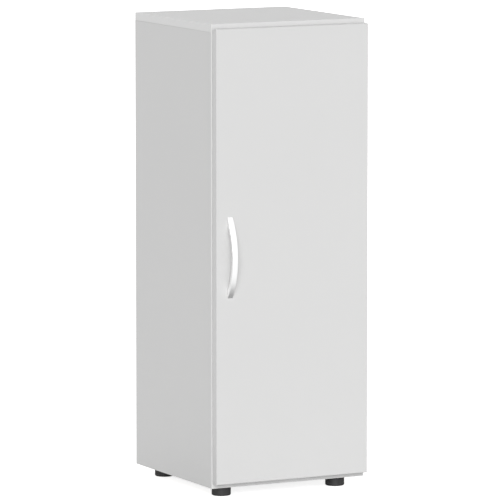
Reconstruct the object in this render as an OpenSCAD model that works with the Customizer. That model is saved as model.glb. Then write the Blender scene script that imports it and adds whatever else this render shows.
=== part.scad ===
// Office locker cabinet: a board carcass on four levelling feet, two shelves, and one overlay door with a
// bow handle. Origin: on the floor, under the middle of the overall box. +Z is up, the door faces -Y and
// opens from its left edge.

/* [Carcass] */
// Overall width
width = 400; // [300:1:600]
// Depth of the carcass, without the door
depth = 400; // [300:1:600]
// Height from the floor to the top face
height = 1105; // [800:1:1600]
// Thickness of the side, top, bottom and shelf boards
board_t = 19; // [16:0.5:25]
// Thickness of the back board
back_t = 8; // [5:0.5:12]
// Distance from the rear edge of the sides to the back board
back_inset = 10; // [5:1:30]
// Depth of the grooves that hold the back board
groove_depth = 8; // [4:0.5:9]
// Thickness of the plastic edge banding
band_t = 1; // [0.5:0.1:2]

/* [Door] */
// Thickness of the door
door_t = 19; // [18:0.5:25]
// Gap between the door and the front of the carcass
door_gap = 2; // [1.9:0.1:3]
// Step from the side of the carcass to the edge of the door
door_side_step = 2; // [1:0.1:2.2]
// Step from the top face down to the upper edge of the door
door_top_step = 10.5; // [2:0.5:15]
// Step from the lower face of the carcass up to the lower edge of the door
door_bottom_step = 11.5; // [2:0.5:15]

/* [Handle] */
// Overall length of the bow
handle_length = 188; // [150:1:260]
// How far the bow stands off the door at its middle
handle_rise = 28; // [24:1:45]
// Width of the bow
handle_w = 13.3; // [10:0.1:20]
// Thickness of the bow at its middle
handle_t = 7.5; // [5:0.5:10]
// Length of each foot of the bow where it meets the door
handle_foot = 20; // [16:1:30]
// Distance from each end of the bow to its screw
handle_screw_inset = 14; // [12:0.5:15]
// Distance from the left edge of the door to the middle of the bow
handle_edge = 35.6; // [20:0.1:60]
// Diameter of the handle screws
handle_screw_d = 4; // [3:0.5:5]
// Depth of the tapped holes in the bow
handle_tap_depth = 6; // [4:0.5:6]

/* [Feet] */
// Diameter of a foot
foot_d = 45; // [35:1:60]
// Height of a foot, from the floor to the carcass
foot_h = 25; // [22:1:40]
// Distance from the sides, front and rear of the carcass to the middle of a foot
foot_inset = 50; // [40:1:80]
// Rounding of the lower edge of a foot
foot_round = 3; // [1:0.5:5]
// Diameter of the threaded spindle
spindle_d = 10; // [8:1:12]

/* [Shelves] */
// Distance from the front of the carcass to the front of a shelf
shelf_setback = 12; // [5:1:40]
// Gap at each end of a shelf
shelf_gap = 0.5; // [0.5:0.1:1.5]
// Diameter of the holes in the two hole columns
row_d = 5; // [4:0.5:6]
// Depth of the holes in the two hole columns
row_depth = 12; // [9:0.5:14]
// Distance from the front of the carcass to the front hole column
row_front = 37; // [30:1:60]
// Distance between the two hole columns
row_apart = 256; // [160:32:288]

/* [Hinges] */
// Distance from the ends of the door to the middle of the outer hinges
hinge_end = 110; // [80:1:160]
// Diameter of a hinge cup
cup_d = 35; // [34:0.5:36]
// Depth of a hinge cup in the door
cup_depth = 12.6; // [12.4:0.1:14]
// Board left between a cup and the edge of the door, with its banding
cup_tab = 1.5; // [1.5:0.1:3]
// Diameter of the hinge pin
hinge_pin_d = 3; // [2:0.1:3]

/* [Hidden] */
$fn = 64;
// Overlap that lets a cut pass cleanly through a face
cut = 1;
// Clearance between pieces of different bodies
free = 0.3;
// Radial clearance of a shaft that turns in its hole
running = 0.05;

// Planes of the carcass
half_w = width / 2;
groove_gap = 1;
overall_depth = depth + door_gap + door_t + handle_rise;
y_back = overall_depth / 2;
y_front = y_back - depth;
y_door_back = y_front - door_gap;
y_door_front = y_door_back - door_t;
x_inner = half_w - board_t;
z_base = foot_h;
z_floor = z_base + board_t;
z_under_top = height - board_t;
inner_h = z_under_top - z_floor;
y_back_board = y_back - back_inset - back_t;

// Planes of the door
x_door = half_w - door_side_step;
z_door_low = z_base + door_bottom_step;
z_door_high = height - door_top_step;
door_mid_z = (z_door_low + z_door_high) / 2;

// Shelves and their hole columns
bay_h = (inner_h - 2 * board_t) / 3;
shelf_lower_z = z_floor + bay_h;
shelf_upper_z = shelf_lower_z + board_t + bay_h;
row_step = 32;
row_y = [y_front + row_front, y_front + row_front + row_apart];
pin_reach = 8;
pin_plug = 9;
pin_w = 7;
pin_z = [shelf_lower_z - row_d / 2, shelf_upper_z - row_d / 2];
shelf_y0 = y_front + shelf_setback;
shelf_back_gap = 2;
shelf_y1 = y_back_board - shelf_back_gap;

// Cam connectors and dowels
cam_d = 15;
cam_depth = 12.5;
cam_edge = 24;
bolt_d = 7;
bolt_bore = 8;
bolt_thread_d = 5;
bolt_thread = 11;
dowel_d = 8;
dowel_end = 20;
dowel_face = 10;
cap_d = 17;
cap_t = 1.2;
cam_inset = 70;
dowel_inset = 102;
cam_y = [y_front + cam_inset, y_back - cam_inset];
dowel_y = [y_front + dowel_inset, y_back - dowel_inset];
bolt_grip = 4;
board_mid = board_t / 2;

// Hinges, in a local frame: x from the inner face of the right side, y from the front of the carcass
hinge_z = [z_door_low + hinge_end, door_mid_z, z_door_high - hinge_end];
door_edge_x = board_t - door_side_step;
cup_r = cup_d / 2;
cup_wall = 1;
cup_x = door_edge_x - cup_tab - cup_r;
cup_floor_y = -door_gap - cup_depth;
cup_floor_t = 0.7;
flange_t = 1.2;
flange_w = 57;
flange_band = 13;
cup_screw_back = 9.5;
cup_screw_x = cup_x - cup_screw_back;
cup_screw_z = 22.5;
cup_screw_d = 3.5;
cup_screw_len = 13;
eye_r = 2.5;
neck_room = 5.3;
neck_half = 5;
neck_t = 2;
// The pivot sits so far forward that the corner of the door swings clear of the side
pivot_x = cup_x + cup_r - 1.5 * cup_wall - eye_r;
corner_room = 0.42;
pivot_y = -(pow(door_edge_x - pivot_x, 2) + pow(door_gap, 2) - pow(corner_room, 2))
    / (2 * (door_gap - corner_room));
// The flange ends where it too stays clear of the side as the door swings
flange_edge_x = pivot_x + sqrt(pow(pivot_y + corner_room, 2) - pow(flange_t - door_gap - pivot_y, 2));
neck_x0 = -3;
neck_floor_gap = 0.5;
neck_reach = 2.7;
// The neck leaves the front of the eye, and stays clear of the floor of the cup
neck_y0 = max(cup_floor_y + cup_floor_t + neck_floor_gap, pivot_y - neck_reach);
pin_half = 7.5;
arm_x0 = -10;
arm_half = 7;
arm_y0 = 3;
arm_y1 = 58;
plate_t = 3;
plate_half = 8;
plate_y0 = 19;
plate_y1 = 55;
wing_half_z = 24;
wing_half_y = 6;
arm_screw_y = 46;
adjust_screw_y = 28;
arm_screw_d = 4;
arm_screw_head_d = 8;
arm_screw_head_t = 2;

// Magnetic catch on the left side, and its strike plate on the door
catch_drop = 60;
catch_z = z_under_top - catch_drop;
catch_w = 14;
catch_h = 46;
catch_depth = 24;
catch_wing_h = 66;
catch_wing_w = 12;
catch_wing_t = 3;
catch_screw_z = 28;
catch_screw_y = 12;
catch_screw_d = 3.5;
catch_screw_depth = 14;
catch_head_d = 7;
catch_head_t = 2;
magnet_w = 8;
magnet_h = 30;
magnet_depth = 16;
magnet_out = 0.5;
strike_t = door_gap - magnet_out - free;
strike_w = 14;
strike_h = 44;
strike_screw_z = 17;

bumper_d = 8;
bumper_inset = 20;

// Handle: two arcs through the face of the door, one for each side of the bow
handle_x = -x_door + handle_edge;
handle_half = handle_length / 2;
function arc_r(half_chord, rise) = (pow(half_chord, 2) + pow(rise, 2)) / (2 * rise);
outer_r = arc_r(handle_half, handle_rise);
inner_rise = handle_rise - handle_t;
inner_r = arc_r(handle_half - handle_foot, inner_rise);
handle_screw_z = handle_half - handle_screw_inset;
handle_head_d = 8;
handle_head_t = 2.5;
handle_screw_room = 0.2;
handle_facets = 180;

// Feet
foot_x = half_w - foot_inset;
foot_y_front = y_front + foot_inset;
foot_y_rear = y_back - foot_inset;
sleeve_wall = 2;
sleeve_d = spindle_d + 2 * sleeve_wall;
sleeve_rim = 4;
sleeve_flange_d = sleeve_d + 2 * sleeve_rim;
sleeve_flange_t = 1.5;
sleeve_h = 13;
spindle_low = 6;
spindle_high_gap = 4;
plug_depth = 3;
plug_rim = 2;
plug_rim_d = sleeve_d + 2 * plug_rim;
plug_rim_t = 1;
slot_w = 1.6;
slot_depth = 2;

// A board between two opposite corners
module block(low, high) {
    translate(low) cube(high - low);
}

// A round bar or hole of a given diameter between two heights
module post(d, z0, z1) {
    translate([0, 0, z0]) cylinder(d = d, h = z1 - z0);
}

// The same, lying along X
module bar_x(d, x0, x1) {
    translate([x0, 0, 0]) rotate([0, 90, 0]) cylinder(d = d, h = x1 - x0);
}

// The same, lying along Y
module bar_y(d, y0, y1) {
    translate([0, y0, 0]) rotate([-90, 0, 0]) cylinder(d = d, h = y1 - y0);
}

// Places its children at both sides, mirrored
module both_sides() {
    for (m = [0, 1]) mirror([m, 0, 0]) children();
}

// Places its children at the four feet
module four_feet() {
    both_sides() for (y = [foot_y_front, foot_y_rear]) translate([foot_x, y, 0]) children();
}

// Places its children at the three hinges, in the hinge's local frame
module each_hinge() {
    for (z = hinge_z) translate([x_inner, y_front, z]) children();
}

// Carcass

// Right side board, with its groove, hole columns and connector holes, before the hinge holes
module side_board() {
    difference() {
        block([x_inner, y_front + band_t, z_base], [half_w, y_back, z_under_top]);
        block([x_inner - cut, y_back_board, z_base - cut],
            [x_inner + groove_depth, y_back_board + back_t, z_under_top + cut]);
        for (y = row_y, z = pin_z, k = [-1, 0, 1])
            translate([0, y, z + k * row_step]) bar_x(row_d, x_inner - cut, x_inner + row_depth);
        for (y = cam_y) {
            translate([0, y, z_under_top - cam_edge]) bar_x(cam_d, x_inner - cut, x_inner + cam_depth);
            translate([x_inner + board_mid, y, 0])
                post(bolt_bore, z_under_top - cam_edge - bolt_grip, z_under_top + cut);
            translate([0, y, z_base + board_mid]) bar_x(bolt_thread_d, x_inner - cut, x_inner + bolt_thread);
        }
        for (y = dowel_y) {
            translate([x_inner + board_mid, y, 0])
                post(dowel_d, z_under_top - dowel_end, z_under_top + cut);
            translate([0, y, z_base + board_mid]) bar_x(dowel_d, x_inner - cut, x_inner + dowel_face);
        }
    }
}

module side_left() {
    color("gainsboro") difference() {
        mirror([1, 0, 0]) side_board();
        for (k = [-1, 1]) translate([-x_inner, y_front + catch_screw_y, catch_z + k * catch_screw_z])
            bar_x(catch_screw_d, -catch_screw_depth, cut);
    }
}

module side_right() {
    color("gainsboro") difference() {
        side_board();
        each_hinge() for (k = [-1, 1])
            translate([0, row_front, k * row_step / 2]) bar_x(row_d, -cut, row_depth);
    }
}

module side_band(x0) {
    color("gainsboro") block([x0, y_front, z_base], [x0 + board_t, y_front + band_t, z_under_top]);
}

module side_left_band() { side_band(-half_w); }

module side_right_band() { side_band(x_inner); }

module top_panel() {
    color("gainsboro") difference() {
        block([-half_w + band_t, y_front + band_t, z_under_top], [half_w - band_t, y_back, height]);
        block([-x_inner - groove_depth, y_back_board, z_under_top - cut],
            [x_inner + groove_depth, y_back_board + back_t, z_under_top + groove_depth]);
        both_sides() {
            for (y = cam_y) translate([x_inner + board_mid, y, 0])
                post(bolt_thread_d, z_under_top - cut, z_under_top + bolt_thread);
            for (y = dowel_y) translate([x_inner + board_mid, y, 0])
                post(dowel_d, z_under_top - cut, z_under_top + dowel_face);
        }
    }
}

// One strip along the front and one at each end
module top_bands() {
    color("gainsboro") {
        block([-half_w + band_t, y_front, z_under_top], [half_w - band_t, y_front + band_t, height]);
        both_sides() block([half_w - band_t, y_front, z_under_top], [half_w, y_back, height]);
    }
}

module bottom_panel() {
    color("gainsboro") difference() {
        block([-x_inner, y_front + band_t, z_base], [x_inner, y_back, z_floor]);
        block([-x_inner - cut, y_back_board, z_floor - groove_depth],
            [x_inner + cut, y_back_board + back_t, z_floor + cut]);
        both_sides() {
            for (y = cam_y) {
                translate([x_inner - cam_edge, y, 0]) post(cam_d, z_base - cut, z_base + cam_depth);
                translate([0, y, z_base + board_mid])
                    bar_x(bolt_bore, x_inner - cam_edge - bolt_grip, x_inner + cut);
            }
            for (y = dowel_y)
                translate([0, y, z_base + board_mid]) bar_x(dowel_d, x_inner - dowel_end, x_inner + cut);
        }
        four_feet() {
            post(sleeve_d, z_base - cut, z_floor + cut);
            post(sleeve_flange_d, z_base - cut, z_base + sleeve_flange_t);
        }
    }
}

module bottom_band() {
    color("gainsboro") block([-x_inner, y_front, z_base], [x_inner, y_front + band_t, z_floor]);
}

module back_panel() {
    reach = groove_depth - groove_gap;
    color("whitesmoke") block([-x_inner - reach, y_back_board, z_floor - reach],
        [x_inner + reach, y_back_board + back_t, z_under_top + reach]);
}

module shelf_board(z) {
    color("gainsboro") block([-x_inner + shelf_gap, shelf_y0 + band_t, z],
        [x_inner - shelf_gap, shelf_y1, z + board_t]);
}

module shelf_band(z) {
    color("gainsboro") block([-x_inner + shelf_gap, shelf_y0, z],
        [x_inner - shelf_gap, shelf_y0 + band_t, z + board_t]);
}

module shelf_lower() { shelf_board(shelf_lower_z); }

module shelf_lower_band() { shelf_band(shelf_lower_z); }

module shelf_upper() { shelf_board(shelf_upper_z); }

module shelf_upper_band() { shelf_band(shelf_upper_z); }

// Eight plugs with a flat rest, two under each end of each shelf
module shelf_pins() {
    color("silver") both_sides() for (y = row_y, z = pin_z) translate([0, y, z]) {
        bar_x(row_d, x_inner, x_inner + pin_plug);
        block([x_inner - pin_reach, -pin_w / 2, -row_d / 2], [x_inner, pin_w / 2, row_d / 2]);
    }
}

// Cams that draw the boards together: four in the sides, four in the underside of the bottom
module cam_housings() {
    color("darkgray") both_sides() for (y = cam_y) {
        difference() {
            translate([0, y, z_under_top - cam_edge]) bar_x(cam_d, x_inner, x_inner + cam_depth);
            translate([x_inner + board_mid, y, 0])
                post(bolt_bore, z_under_top - cam_edge - bolt_grip, z_under_top);
        }
        difference() {
            translate([x_inner - cam_edge, y, 0]) post(cam_d, z_base, z_base + cam_depth);
            translate([0, y, z_base + board_mid])
                bar_x(bolt_bore, x_inner - cam_edge - bolt_grip, x_inner);
        }
    }
}

module cam_bolts() {
    color("silver") both_sides() for (y = cam_y) {
        translate([x_inner + board_mid, y, 0]) {
            post(bolt_d, z_under_top - cam_edge - bolt_grip, z_under_top);
            post(bolt_thread_d, z_under_top, z_under_top + bolt_thread);
        }
        translate([0, y, z_base + board_mid]) {
            bar_x(bolt_d, x_inner - cam_edge - bolt_grip, x_inner);
            bar_x(bolt_thread_d, x_inner, x_inner + bolt_thread);
        }
    }
}

module cam_caps() {
    color("gainsboro") both_sides() for (y = cam_y)
        translate([0, y, z_under_top - cam_edge]) bar_x(cap_d, x_inner - cap_t, x_inner);
}

module dowels() {
    color("burlywood") both_sides() for (y = dowel_y) {
        translate([x_inner + board_mid, y, 0])
            post(dowel_d, z_under_top - dowel_end, z_under_top + dowel_face);
        translate([0, y, z_base + board_mid])
            bar_x(dowel_d, x_inner - dowel_end, x_inner + dowel_face);
    }
}

// Levelling feet

// Threaded sleeve let into the bottom board from below
module foot_sleeves() {
    color("silver") four_feet() difference() {
        union() {
            post(sleeve_d, z_base, z_base + sleeve_h);
            post(sleeve_flange_d, z_base, z_base + sleeve_flange_t);
        }
        post(spindle_d, z_base - cut, z_base + sleeve_h + cut);
    }
}

// Plug that closes the hole above a spindle, from inside the cabinet
module foot_plugs() {
    color("gainsboro") four_feet() {
        post(sleeve_d, z_floor - plug_depth, z_floor);
        post(plug_rim_d, z_floor, z_floor + plug_rim_t);
    }
}

// Moulded foot with a rounded lower edge and a socket for the spindle
module foot(x, y) {
    r = foot_d / 2;
    color([0.2, 0.2, 0.2]) translate([x, y, 0]) difference() {
        rotate_extrude() {
            difference() {
                square([r, z_base - free]);
                translate([r - foot_round, 0]) square([foot_round + cut, foot_round]);
            }
            intersection() {
                translate([r - foot_round, foot_round]) circle(r = foot_round);
                square([r, foot_round]);
            }
        }
        post(spindle_d, spindle_low, z_base);
    }
}

// Threaded spindle with a screwdriver slot in its upper end
module spindle(x, y) {
    d = spindle_d - 2 * running;
    top = z_floor - spindle_high_gap;
    color("silver") translate([x, y, 0]) difference() {
        post(d, spindle_low, top);
        translate([-d, -slot_w / 2, top - slot_depth]) cube([2 * d, slot_w, slot_depth + cut]);
    }
}

module foot_front_left() { foot(-foot_x, foot_y_front); }

module foot_front_right() { foot(foot_x, foot_y_front); }

module foot_rear_left() { foot(-foot_x, foot_y_rear); }

module foot_rear_right() { foot(foot_x, foot_y_rear); }

module spindle_front_left() { spindle(-foot_x, foot_y_front); }

module spindle_front_right() { spindle(foot_x, foot_y_front); }

module spindle_rear_left() { spindle(-foot_x, foot_y_rear); }

module spindle_rear_right() { spindle(foot_x, foot_y_rear); }

// Magnetic catch

module catch_housing() {
    color("white") translate([-x_inner, y_front, catch_z]) difference() {
        union() {
            block([0, 0, -catch_h / 2], [catch_w, catch_depth, catch_h / 2]);
            block([0, catch_screw_y - catch_wing_w / 2, -catch_wing_h / 2],
                [catch_wing_t, catch_screw_y + catch_wing_w / 2, catch_wing_h / 2]);
        }
        block([(catch_w - magnet_w) / 2, -cut, -magnet_h / 2],
            [(catch_w + magnet_w) / 2, magnet_depth, magnet_h / 2]);
        for (k = [-1, 1]) translate([0, catch_screw_y, k * catch_screw_z])
            bar_x(catch_screw_d, -cut, catch_wing_t + cut);
    }
}

module catch_magnet() {
    color("dimgray") translate([-x_inner, y_front, catch_z])
        block([(catch_w - magnet_w) / 2, -magnet_out, -magnet_h / 2],
            [(catch_w + magnet_w) / 2, magnet_depth, magnet_h / 2]);
}

module catch_screws() {
    color("silver") for (k = [-1, 1])
        translate([-x_inner, y_front + catch_screw_y, catch_z + k * catch_screw_z]) {
            bar_x(catch_screw_d, -catch_screw_depth, catch_wing_t);
            bar_x(catch_head_d, catch_wing_t, catch_wing_t + catch_head_t);
        }
}

module strike_plate() {
    color("silver") translate([-x_inner + catch_w / 2, y_door_back, catch_z]) difference() {
        block([-strike_w / 2, 0, -strike_h / 2], [strike_w / 2, strike_t, strike_h / 2]);
        for (k = [-1, 1]) translate([0, 0, k * strike_screw_z]) bar_y(catch_screw_d, -cut, strike_t + cut);
    }
}

module strike_screws() {
    color("silver") for (k = [-1, 1])
        translate([-x_inner + catch_w / 2, y_door_back, catch_z + k * strike_screw_z])
            bar_y(catch_screw_d, -cup_screw_len, strike_t);
}

// Hinges: a cup with one fixed pivot in the door, on a curved arm from the side

// Cup let into the door, with two cheeks for the pin and a screw flange
module hinge_cups() {
    color("silver") each_hinge() difference() {
        union() {
            difference() {
                union() {
                    translate([cup_x, 0, 0]) bar_y(cup_d, cup_floor_y, -door_gap);
                    translate([cup_x, 0, 0]) bar_y(cup_d + 2 * cup_wall, -door_gap, -door_gap + flange_t);
                    for (k = [-1, 1]) translate([cup_screw_x, 0, k * (flange_w - flange_band) / 2])
                        bar_y(flange_band, -door_gap, -door_gap + flange_t);
                    block([cup_screw_x - flange_band / 2, -door_gap, -(flange_w - flange_band) / 2],
                        [cup_screw_x + flange_band / 2, -door_gap + flange_t, (flange_w - flange_band) / 2]);
                }
                translate([cup_x, 0, 0]) bar_y(cup_d - 2 * cup_wall, cup_floor_y + cup_floor_t, cut);
            }
            for (k = [0, 1]) mirror([0, 0, k]) intersection() {
                translate([cup_x, 0, 0]) bar_y(cup_d - cup_wall, cup_floor_y, -door_gap);
                block([pivot_x - eye_r - cup_wall, cup_floor_y, neck_room],
                    [door_edge_x, pivot_y + eye_r + cup_wall, cup_r]);
            }
        }
        block([pivot_x - eye_r - cup_wall, cup_floor_y + cup_floor_t, -neck_room],
            [pivot_x + eye_r + free, cut, neck_room]);
        block([flange_edge_x, -door_gap, -cup_d], [door_edge_x + cut, cut, cup_d]);
        translate([pivot_x, pivot_y, 0]) post(hinge_pin_d, -pin_half, pin_half);
        for (k = [-1, 1]) translate([cup_screw_x, 0, k * cup_screw_z])
            bar_y(cup_screw_d, -door_gap - cut, -door_gap + flange_t + cut);
    }
}

module hinge_cup_screws() {
    color("silver") each_hinge() for (k = [-1, 1])
        translate([cup_screw_x, 0, k * cup_screw_z])
            bar_y(cup_screw_d, -door_gap - cup_screw_len, -door_gap + flange_t);
}

module hinge_pins() {
    color("silver") each_hinge() translate([pivot_x, pivot_y, 0]) post(hinge_pin_d, -pin_half, pin_half);
}

// Curved arm: an eye round the pin, a neck out of the cup, and a body on the plate
module hinge_arms() {
    color("silver") each_hinge() difference() {
        union() {
            translate([pivot_x, pivot_y, 0]) post(2 * eye_r, -neck_half, neck_half);
            block([neck_x0, neck_y0, -neck_half], [pivot_x, neck_y0 + neck_t, neck_half]);
            block([neck_x0, neck_y0, -neck_half], [neck_x0 + neck_t, plate_y0 - neck_t, neck_half]);
            block([arm_x0, arm_y0, -arm_half], [-plate_t, arm_y1, arm_half]);
        }
        translate([pivot_x, pivot_y, 0])
            post(hinge_pin_d + 2 * running, -neck_half - cut, neck_half + cut);
        for (y = [adjust_screw_y, arm_screw_y]) translate([0, y, 0]) bar_x(arm_screw_d, arm_x0 - cut, cut);
    }
}

module hinge_plates() {
    color("silver") each_hinge() difference() {
        union() {
            block([-plate_t, plate_y0, -plate_half], [0, plate_y1, plate_half]);
            block([-plate_t, row_front - wing_half_y, -wing_half_z],
                [0, row_front + wing_half_y, wing_half_z]);
        }
        translate([0, arm_screw_y, 0]) bar_x(arm_screw_d, -plate_t - cut, cut);
        for (k = [-1, 1]) translate([0, row_front, k * row_step / 2]) bar_x(row_d, -plate_t - cut, cut);
    }
}

module hinge_plate_screws() {
    color("silver") each_hinge() for (k = [-1, 1]) translate([0, row_front, k * row_step / 2]) {
        bar_x(row_d, -plate_t, row_depth - cut);
        bar_x(arm_screw_head_d, -plate_t - arm_screw_head_t, -plate_t);
    }
}

// One screw clamps the arm to its plate, the other sets the overlay of the door
module hinge_arm_screws() {
    color("silver") each_hinge() for (y = [adjust_screw_y, arm_screw_y]) translate([0, y, 0]) {
        bar_x(arm_screw_d, arm_x0, y == arm_screw_y ? 0 : -plate_t);
        bar_x(arm_screw_head_d, arm_x0 - arm_screw_head_t, arm_x0);
    }
}

// Door

module door_panel() {
    color("gainsboro") difference() {
        block([-x_door + band_t, y_door_front, z_door_low + band_t],
            [x_door - band_t, y_door_back, z_door_high - band_t]);
        each_hinge() {
            translate([cup_x, 0, 0]) bar_y(cup_d, cup_floor_y, -door_gap + cut);
            for (k = [-1, 1]) translate([cup_screw_x, 0, k * cup_screw_z])
                bar_y(cup_screw_d, -door_gap - cup_screw_len, -door_gap + cut);
        }
        for (k = [-1, 1]) {
            translate([handle_x, 0, door_mid_z + k * handle_screw_z])
                bar_y(handle_screw_d + handle_screw_room, y_door_front - cut, y_door_back + cut);
            translate([-x_inner + catch_w / 2, y_door_back, catch_z + k * strike_screw_z])
                bar_y(catch_screw_d, -cup_screw_len, cut);
        }
    }
}

// Four strips round the door: two full-length uprights and two between them
module door_bands() {
    color("gainsboro") {
        both_sides() block([x_door - band_t, y_door_front, z_door_low], [x_door, y_door_back, z_door_high]);
        for (z = [z_door_low, z_door_high - band_t])
            block([-x_door + band_t, y_door_front, z], [x_door - band_t, y_door_back, z + band_t]);
    }
}

// Soft stops at the two left corners, inside the door
module door_bumpers() {
    color("white") for (z = [z_door_low + bumper_inset, z_door_high - bumper_inset])
        translate([-half_w + board_mid, y_door_back, z]) bar_y(bumper_d, 0, door_gap - free);
}

module handle_bow() {
    color("lightgray") translate([handle_x, y_door_front, door_mid_z]) difference() {
        intersection() {
            translate([0, outer_r - handle_rise, 0])
                bar_x(2 * outer_r, -handle_w / 2, handle_w / 2, $fn = handle_facets);
            block([-handle_w, -handle_rise - cut, -handle_half - cut], [handle_w, 0, handle_half + cut]);
        }
        translate([0, inner_r - inner_rise, 0])
            bar_x(2 * inner_r, -handle_w, handle_w, $fn = handle_facets);
        for (k = [-1, 1]) translate([0, 0, k * handle_screw_z]) bar_y(handle_screw_d, -handle_tap_depth, cut);
    }
}

// Screws through the door from inside, one into each foot of the bow
module handle_screws() {
    color("silver") for (k = [-1, 1]) translate([handle_x, 0, door_mid_z + k * handle_screw_z]) {
        bar_y(handle_screw_d, y_door_front - handle_tap_depth, y_door_back);
        bar_y(handle_head_d, y_door_back, y_door_back + handle_head_t);
    }
}

side_left();
side_right();
side_left_band();
side_right_band();
top_panel();
top_bands();
bottom_panel();
bottom_band();
back_panel();
shelf_lower();
shelf_lower_band();
shelf_upper();
shelf_upper_band();
shelf_pins();
cam_housings();
cam_bolts();
cam_caps();
dowels();
foot_sleeves();
foot_plugs();
catch_housing();
catch_magnet();
catch_screws();
hinge_arms();
hinge_plates();
hinge_plate_screws();
hinge_arm_screws();
door_panel();
door_bands();
door_bumpers();
handle_bow();
handle_screws();
hinge_cups();
hinge_cup_screws();
hinge_pins();
strike_plate();
strike_screws();
foot_front_left();
foot_front_right();
foot_rear_left();
foot_rear_right();
spindle_front_left();
spindle_front_right();
spindle_rear_left();
spindle_rear_right();
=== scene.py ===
"""Office locker cabinet: faced boards, one overlay door with a bow handle, and four levelling feet."""
from math import asin, atan2, cos, pi, radians, sin, tau

import bmesh
import bpy
from mathutils import Matrix, Vector


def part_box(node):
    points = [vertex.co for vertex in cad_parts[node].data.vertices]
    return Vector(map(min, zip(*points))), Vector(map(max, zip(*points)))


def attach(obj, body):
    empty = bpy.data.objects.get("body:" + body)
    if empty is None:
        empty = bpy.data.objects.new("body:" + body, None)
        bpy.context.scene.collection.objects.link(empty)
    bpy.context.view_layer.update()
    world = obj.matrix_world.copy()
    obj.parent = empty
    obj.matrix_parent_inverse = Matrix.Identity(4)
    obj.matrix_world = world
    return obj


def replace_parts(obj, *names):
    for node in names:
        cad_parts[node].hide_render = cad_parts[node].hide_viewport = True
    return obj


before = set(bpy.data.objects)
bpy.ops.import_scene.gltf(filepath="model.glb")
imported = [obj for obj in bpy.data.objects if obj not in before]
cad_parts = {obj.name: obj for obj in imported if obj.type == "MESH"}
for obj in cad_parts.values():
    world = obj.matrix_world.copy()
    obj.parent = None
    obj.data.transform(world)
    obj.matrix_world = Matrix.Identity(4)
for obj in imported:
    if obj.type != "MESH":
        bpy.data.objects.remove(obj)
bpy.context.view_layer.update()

# --------------------------------------------------------------------------------------------------
# Camera. A long lens, a little above the middle of the cabinet and to the left of its door, far enough
# away that upright edges stay nearly parallel.
carcass_front, carcass_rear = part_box("side_left_band")[0].y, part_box("top_bands")[1].y
aim_height = 0.565
aim = Vector((0.0, (carcass_front + carcass_rear) / 2, aim_height))
view_azimuth, view_elevation = radians(-27.16), radians(7.14)
view_distance = 11.996
aim_right, aim_up = 0.0022, -0.015
towards_camera = Vector((sin(view_azimuth) * cos(view_elevation), -cos(view_azimuth) * cos(view_elevation),
                         sin(view_elevation)))
picture_right = Vector((0, 0, 1)).cross(towards_camera).normalized()
picture_up = towards_camera.cross(picture_right)
camera_data = bpy.data.cameras.new("studio_camera")
sensor_width, lens_length, sight_limit = 36, 366.3, 200
camera_data.sensor_width = sensor_width
camera_data.lens = lens_length
camera_data.clip_end = sight_limit
camera = bpy.data.objects.new("studio_camera", camera_data)
bpy.context.scene.collection.objects.link(camera)
turn = Matrix((picture_right, picture_up, towards_camera)).transposed().to_4x4()
place = aim + picture_right * aim_right + picture_up * aim_up + towards_camera * view_distance
camera.matrix_world = Matrix.Translation(place) @ turn
bpy.context.scene.camera = camera

# --------------------------------------------------------------------------------------------------
# Studio. A wide white floor, an even pale sky, and one large soft lamp in front of the door, above it and
# to its left. None of it belongs to the cabinet.
studio = bpy.context.scene
studio.view_settings.view_transform = "Standard"
white = (1.0, 1.0, 1.0, 1.0)
sky = bpy.data.worlds.new("studio_sky")
sky.use_nodes = True
sky.node_tree.nodes["Background"].inputs["Color"].default_value = white
# Mirror-like rays meet a brighter sky than soft ones, as if large white softboxes stood around
soft_sky, extra_mirror_sky = 0.50, 0.62
sky_nodes, sky_links = sky.node_tree.nodes, sky.node_tree.links
sky_rays = sky_nodes.new("ShaderNodeLightPath")
sky_strength = sky_nodes.new("ShaderNodeMath")
sky_strength.operation = "MULTIPLY_ADD"
sky_strength.inputs[1].default_value = extra_mirror_sky
sky_strength.inputs[2].default_value = soft_sky
sky_links.new(sky_rays.outputs["Is Glossy Ray"], sky_strength.inputs[0])
sky_links.new(sky_strength.outputs["Value"], sky_nodes["Background"].inputs["Strength"])
studio.world = sky

lamp_power, lamp_spread, towards_lamp = 2.0, radians(40), Vector((-0.37, -0.75, 0.39))
lamp_data = bpy.data.lights.new("front_lamp", "SUN")
lamp_data.energy = lamp_power
lamp_data.angle = lamp_spread
lamp = bpy.data.objects.new("front_lamp", lamp_data)
studio.collection.objects.link(lamp)
lamp.rotation_euler = towards_lamp.to_track_quat("Z", "Y").to_euler()

floor_half = 60.0
floor_mesh = bpy.data.meshes.new("studio_floor")
bm = bmesh.new()
bmesh.ops.create_grid(bm, x_segments=1, y_segments=1, size=floor_half)
bm.to_mesh(floor_mesh)
bm.free()
floor = bpy.data.objects.new("studio_floor", floor_mesh)
studio.collection.objects.link(floor)
floor_paint = bpy.data.materials.new("studio_floor_paint")
floor_paint.use_nodes = True
floor_nodes, floor_links = floor_paint.node_tree.nodes, floor_paint.node_tree.links
floor_shader = floor_nodes["Principled BSDF"]
floor_shader.inputs["Roughness"].default_value = 0.9
floor_shader.inputs["Specular IOR Level"].default_value = 0.1
floor_shader.inputs["Emission Color"].default_value = white
floor_where = floor_nodes.new("ShaderNodeTexCoord")
floor_noise = floor_nodes.new("ShaderNodeTexNoise")
floor_noise.inputs["Scale"].default_value = 3.0
floor_ramp = floor_nodes.new("ShaderNodeValToRGB")
for stop, grey in zip(floor_ramp.color_ramp.elements, (0.925, 0.945)):
    stop.color = (grey, grey, grey, 1)
floor_links.new(floor_where.outputs["Object"], floor_noise.inputs["Vector"])
floor_links.new(floor_noise.outputs["Fac"], floor_ramp.inputs["Fac"])

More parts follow.
